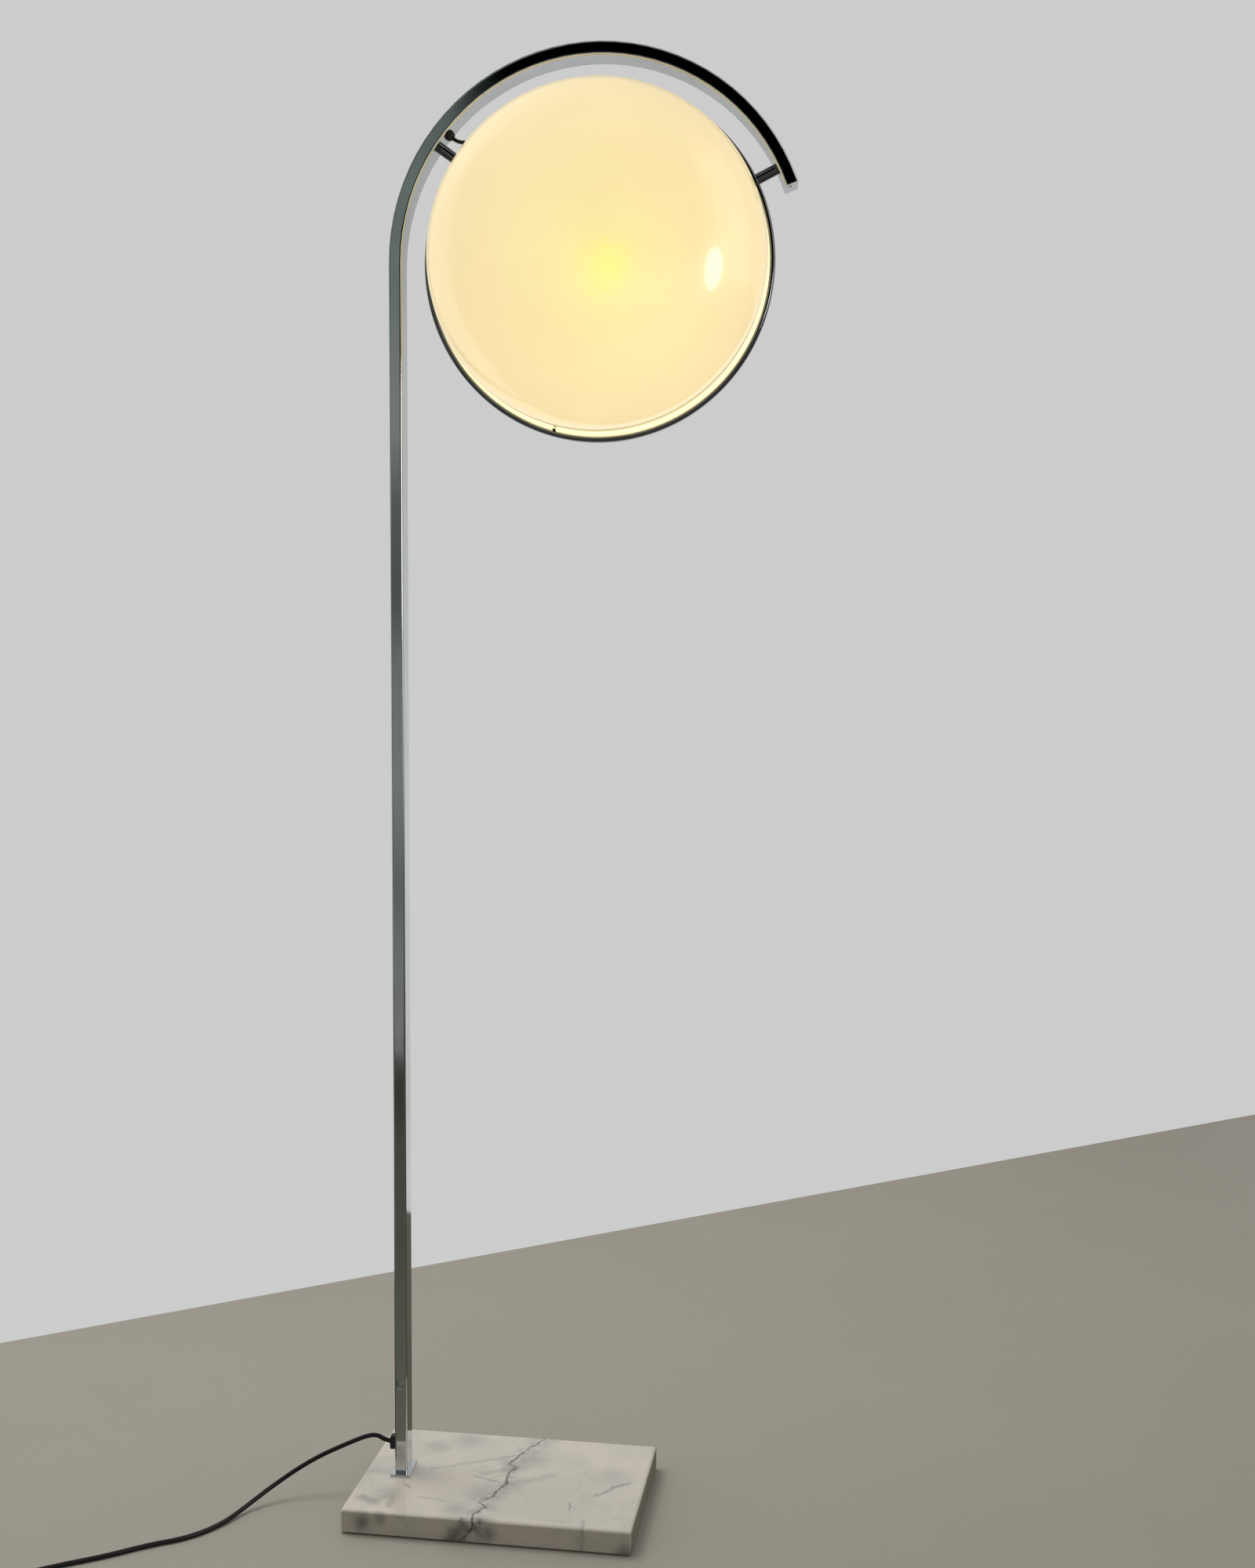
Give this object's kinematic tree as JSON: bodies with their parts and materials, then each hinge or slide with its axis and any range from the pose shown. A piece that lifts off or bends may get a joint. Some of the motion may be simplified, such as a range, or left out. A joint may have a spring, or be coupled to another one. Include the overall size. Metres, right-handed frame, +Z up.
{
  "type": "arc floor lamp",
  "caption": "Tall floor lamp: a chromed rectangular tube rises from a marble slab and bends in an arc over a round, deep, two-sided opal shade.",
  "frame": {"origin": "centre of the felt underside on the floor", "axes": "+Z up; the arc's own plane is X-Z with the pole towards -X and the shade towards +X; -Y is the front"},
  "size_m": [0.7906, 0.429, 1.55],
  "materials": {
    "marble": "polished white marble with grey veins",
    "felt": "black wool felt",
    "chrome": "polished chrome plate, lightly worn",
    "steel": "zinc plated steel",
    "black_steel": "blackened spring steel",
    "opal_acrylic": "glossy cream opal acrylic, lit from inside",
    "brass": "plain turned brass",
    "black_plastic": "moulded black thermoplastic",
    "black_rubber": "black rubber",
    "black_pvc": "black PVC sheath",
    "ceramic": "white glazed steatite",
    "bulb_glass": "soft-white frosted bulb glass",
    "aluminium": "rolled aluminium screw cap"
  },
  "bodies": {
    "stand": {"marble_slab": "marble", "base_felt": "felt", "foot_plate": "chrome", "foot_block": "steel", "clamp_washer": "steel", "clamp_bolt": "steel", "arc_tube": "chrome", "tube_end_cap": "chrome", "shade_ring": "chrome", "rod_left": "chrome", "rod_right": "chrome", "rod_screws": "steel", "bridge_bar": "steel", "nipple": "brass", "nipple_nut": "brass", "lampholder_cap": "black_plastic", "lampholder_shell": "black_plastic", "lampholder_core": "ceramic", "lampholder_contact": "brass", "cord_gland": "black_plastic", "arc_grommet": "black_rubber", "inner_lead": "black_pvc", "link_lead": "black_pvc", "cord_run": "black_pvc", "cord_tail": "black_pvc", "cord_end": "black_pvc", "cord_coil": "black_pvc", "switch_base": "black_plastic", "switch_cover": "black_plastic", "switch_reliefs": "black_rubber", "switch_core": "black_plastic", "switch_screws": "steel", "plug_body": "black_plastic", "plug_pins": "steel"},
    "front_dome": {"front_diffuser": "opal_acrylic", "front_clips": "black_steel"},
    "rear_dome": {"rear_diffuser": "opal_acrylic", "rear_clips": "black_steel"},
    "bulb": {"bulb_glass": "bulb_glass", "bulb_cap": "aluminium", "bulb_contact": "brass"},
    "switch_button_body": {"switch_button": "black_plastic"}
  },
  "joints": [
    {"name": "front_dome_off", "type": "slide", "parent": "stand", "child": "front_dome", "axis": [0, -1, 0], "range_m": [0, 0.15]},
    {"name": "rear_dome_off", "type": "slide", "parent": "stand", "child": "rear_dome", "axis": [0, 1, 0], "range_m": [0, 0.15]},
    {"name": "bulb_out", "type": "slide", "parent": "stand", "child": "bulb", "axis": [0, 0, -1], "range_m": [0, 0.027]},
    {"name": "switch_press", "type": "slide", "parent": "stand", "child": "switch_button_body", "axis": [0, 0, -1], "range_m": [0, 0.0025], "stiffness_N_per_m": 1500}
  ]
}
